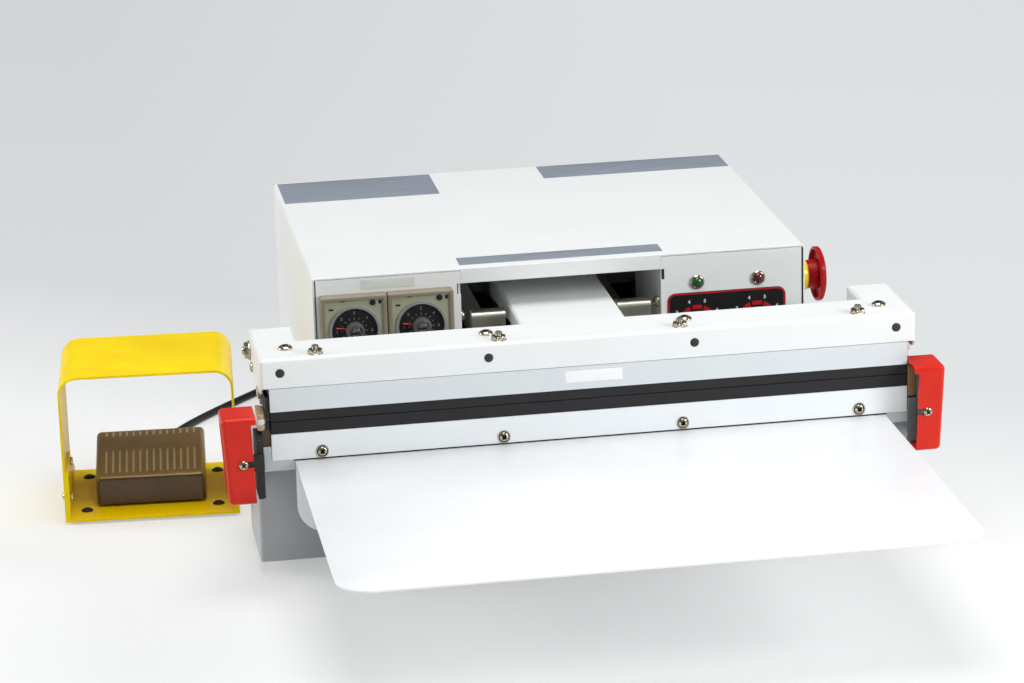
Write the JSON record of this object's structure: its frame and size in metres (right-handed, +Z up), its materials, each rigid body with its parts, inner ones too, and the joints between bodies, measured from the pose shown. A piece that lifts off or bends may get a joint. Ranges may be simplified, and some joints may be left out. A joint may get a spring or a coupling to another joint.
{
  "type": "nozzle vacuum sealer",
  "caption": "Table-top nozzle vacuum sealer with a lever-driven upper jaw, flat nozzles, bag tray, panel timers, emergency stop and a guarded foot switch.",
  "frame": {"origin": "on the table, under the middle of the machine, its tray and its foot switch, the cable and its coil left out", "axes": "+X to the user's right, +Y away from the user, +Z up"},
  "size_m": [0.6108, 0.7443, 0.183],
  "materials": {
    "white_paint": "smooth white powder coat",
    "tray_white": "glossy white",
    "frame_paint": "smooth light powder coat",
    "zinc_steel": "zinc plated",
    "satin_aluminium": "satin anodised",
    "black_rubber": "matt",
    "pad_rubber": "matt silicone",
    "element_metal": "flat ribbon",
    "cloth_tan": "coated glass cloth",
    "terminal_tan": "cloth covered",
    "insulator_tan": "matt",
    "guard_red": "gloss paint",
    "bracket_grey": "matt paint",
    "nickel": "nickel plated",
    "plug_black": "matt",
    "stainless": "brushed",
    "timer_shell": "satin",
    "timer_clear": "clear cap with a red pointer",
    "lens_green": "gloss",
    "lens_red": "gloss",
    "plate_black": "gloss film with a red border",
    "device_black": "satin",
    "knob_black": "satin",
    "stop_yellow": "gloss",
    "stop_red": "gloss",
    "cylinder_grey": "anodised",
    "core_steel": "varnished laminations",
    "board_green": "solder mask",
    "port_brass": "plain",
    "guard_yellow": "gloss paint",
    "pedal_bronze": "metallic paint",
    "cable_black": "satin"
  },
  "bodies": {
    "machine": {"casing_cover": "white_paint", "front_panels": "white_paint", "back_panel": "white_paint", "chassis": "zinc_steel", "front_frame": "frame_paint", "rubber_feet": "black_rubber", "pivot_frames": "white_paint", "pivot_bolts": "nickel", "jaw_carrier": "satin_aluminium", "lower_jaw_bar": "satin_aluminium", "lower_jaw_rubber": "pad_rubber", "heating_element": "element_metal", "release_cloth": "cloth_tan", "element_terminals": "terminal_tan", "lift_cylinder": "cylinder_grey", "nozzle_housings": "stainless", "nozzle_drive": "satin_aluminium", "bag_tray": "tray_white", "frame_screws": "nickel", "end_guards": "guard_red", "guard_brackets": "bracket_grey", "timer_housings": "timer_shell", "green_lamp": "lens_green", "red_lamp": "lens_red", "control_plate": "plate_black", "switch_blocks": "device_black", "stop_collar": "stop_yellow", "transformer": "core_steel", "valve_block": "cylinder_grey", "control_board": "board_green", "mains_inlet": "device_black", "air_ports": "port_brass", "cable_gland": "device_black", "foot_base": "guard_yellow", "foot_guard": "guard_yellow", "foot_hardware": "nickel", "switch_body": "device_black", "strain_relief": "black_rubber", "foot_cable": "cable_black", "cable_coil": "cable_black"},
    "jaw": {"upper_jaw_bar": "satin_aluminium", "upper_jaw_rubber": "pad_rubber", "end_insulators": "insulator_tan", "jaw_cover": "white_paint", "cover_plugs": "plug_black", "jaw_fasteners": "nickel", "jaw_arms": "zinc_steel", "lift_beam": "white_paint", "beam_clevis": "zinc_steel"},
    "lift_ram": {"lift_rod": "zinc_steel"},
    "nozzles": {"nozzle_tubes": "stainless", "nozzle_carriage": "satin_aluminium"},
    "timer_dial_1": {"timer_knob_1": "timer_clear"},
    "timer_dial_2": {"timer_knob_2": "timer_clear"},
    "cooling_dial": {"cooling_knob": "knob_black"},
    "sealing_dial": {"sealing_knob": "knob_black"},
    "stop_ram": {"stop_plunger": "stop_red"},
    "stop_mushroom": {"stop_head": "stop_red"},
    "pedal": {"foot_pedal": "pedal_bronze"}
  },
  "joints": [
    {"name": "jaw_lift", "type": "hinge", "parent": "machine", "child": "jaw", "pos_m": [0.05892, -0.0055, 0.148], "axis": [-1, 0, 0], "range_deg": [0, 20]},
    {"name": "lift_rod_slide", "type": "slide", "parent": "machine", "child": "lift_ram", "axis": [0, 0, -1], "range_m": [0, 0.0412]},
    {"name": "nozzle_slide", "type": "slide", "parent": "machine", "child": "nozzles", "axis": [0, -1, 0], "range_m": [0, 0.095]},
    {"name": "timer_1_set", "type": "hinge", "parent": "machine", "child": "timer_dial_1", "pos_m": [-0.09208, 0.0339, 0.1449], "axis": [0, 1, 0], "range_deg": [-60, 240]},
    {"name": "timer_2_set", "type": "hinge", "parent": "machine", "child": "timer_dial_2", "pos_m": [-0.04408, 0.0339, 0.1449], "axis": [0, 1, 0], "range_deg": [-60, 240]},
    {"name": "cooling_set", "type": "hinge", "parent": "machine", "child": "cooling_dial", "pos_m": [0.15822, 0.0391, 0.1293], "axis": [0, 1, 0], "range_deg": [-150, 150]},
    {"name": "sealing_set", "type": "hinge", "parent": "machine", "child": "sealing_dial", "pos_m": [0.20272, 0.0391, 0.1293], "axis": [0, 1, 0], "range_deg": [-150, 150]},
    {"name": "stop_press", "type": "slide", "parent": "machine", "child": "stop_ram", "axis": [-1, 0, 0], "range_m": [0, 0.005]},
    {"name": "stop_twist", "type": "hinge", "parent": "stop_ram", "child": "stop_mushroom", "pos_m": [0.25172, 0.082, 0.148], "axis": [-1, 0, 0], "range_deg": [0, 45]},
    {"name": "pedal_press", "type": "hinge", "parent": "machine", "child": "pedal", "pos_m": [-0.23858, 0.10805, 0.012], "axis": [-0.9976, 0.0698, 0], "range_deg": [0, 6], "stiffness_Nm_per_rad": 5, "springref_deg": -3.44}
  ],
  "couplings": [
    {"joint": "lift_rod_slide", "follows": "jaw_lift", "m_per_rad": 0.11803},
    {"joint": "nozzle_slide", "follows": "jaw_lift", "m_per_rad": 0.27215}
  ]
}
